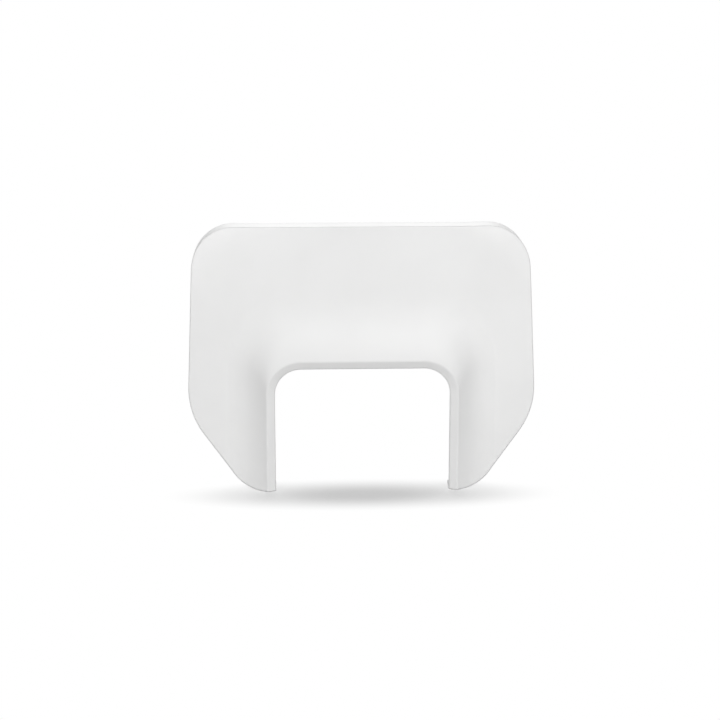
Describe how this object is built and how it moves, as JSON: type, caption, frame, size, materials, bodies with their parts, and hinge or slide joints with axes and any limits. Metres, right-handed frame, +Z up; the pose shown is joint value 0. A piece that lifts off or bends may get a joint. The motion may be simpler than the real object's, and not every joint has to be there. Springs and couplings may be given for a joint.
{
  "type": "headlight mask",
  "caption": "White moulded motorbike headlight mask: a leaning panel with a flare and turned lip around an arched lamp notch, a turned-back skirt and braced screw bosses behind",
  "frame": {"origin": "centre of the four screw bosses, in the plane of their end faces, on the plane of symmetry", "axes": "+Z up, the front faces -Y, +X is the right-hand side seen from the front"},
  "size_m": [0.253, 0.0495, 0.1906],
  "materials": {
    "mask_plastic": "satin white moulded polypropylene"
  },
  "bodies": {
    "root": {"headlight_mask": "mask_plastic"}
  },
  "joints": []
}
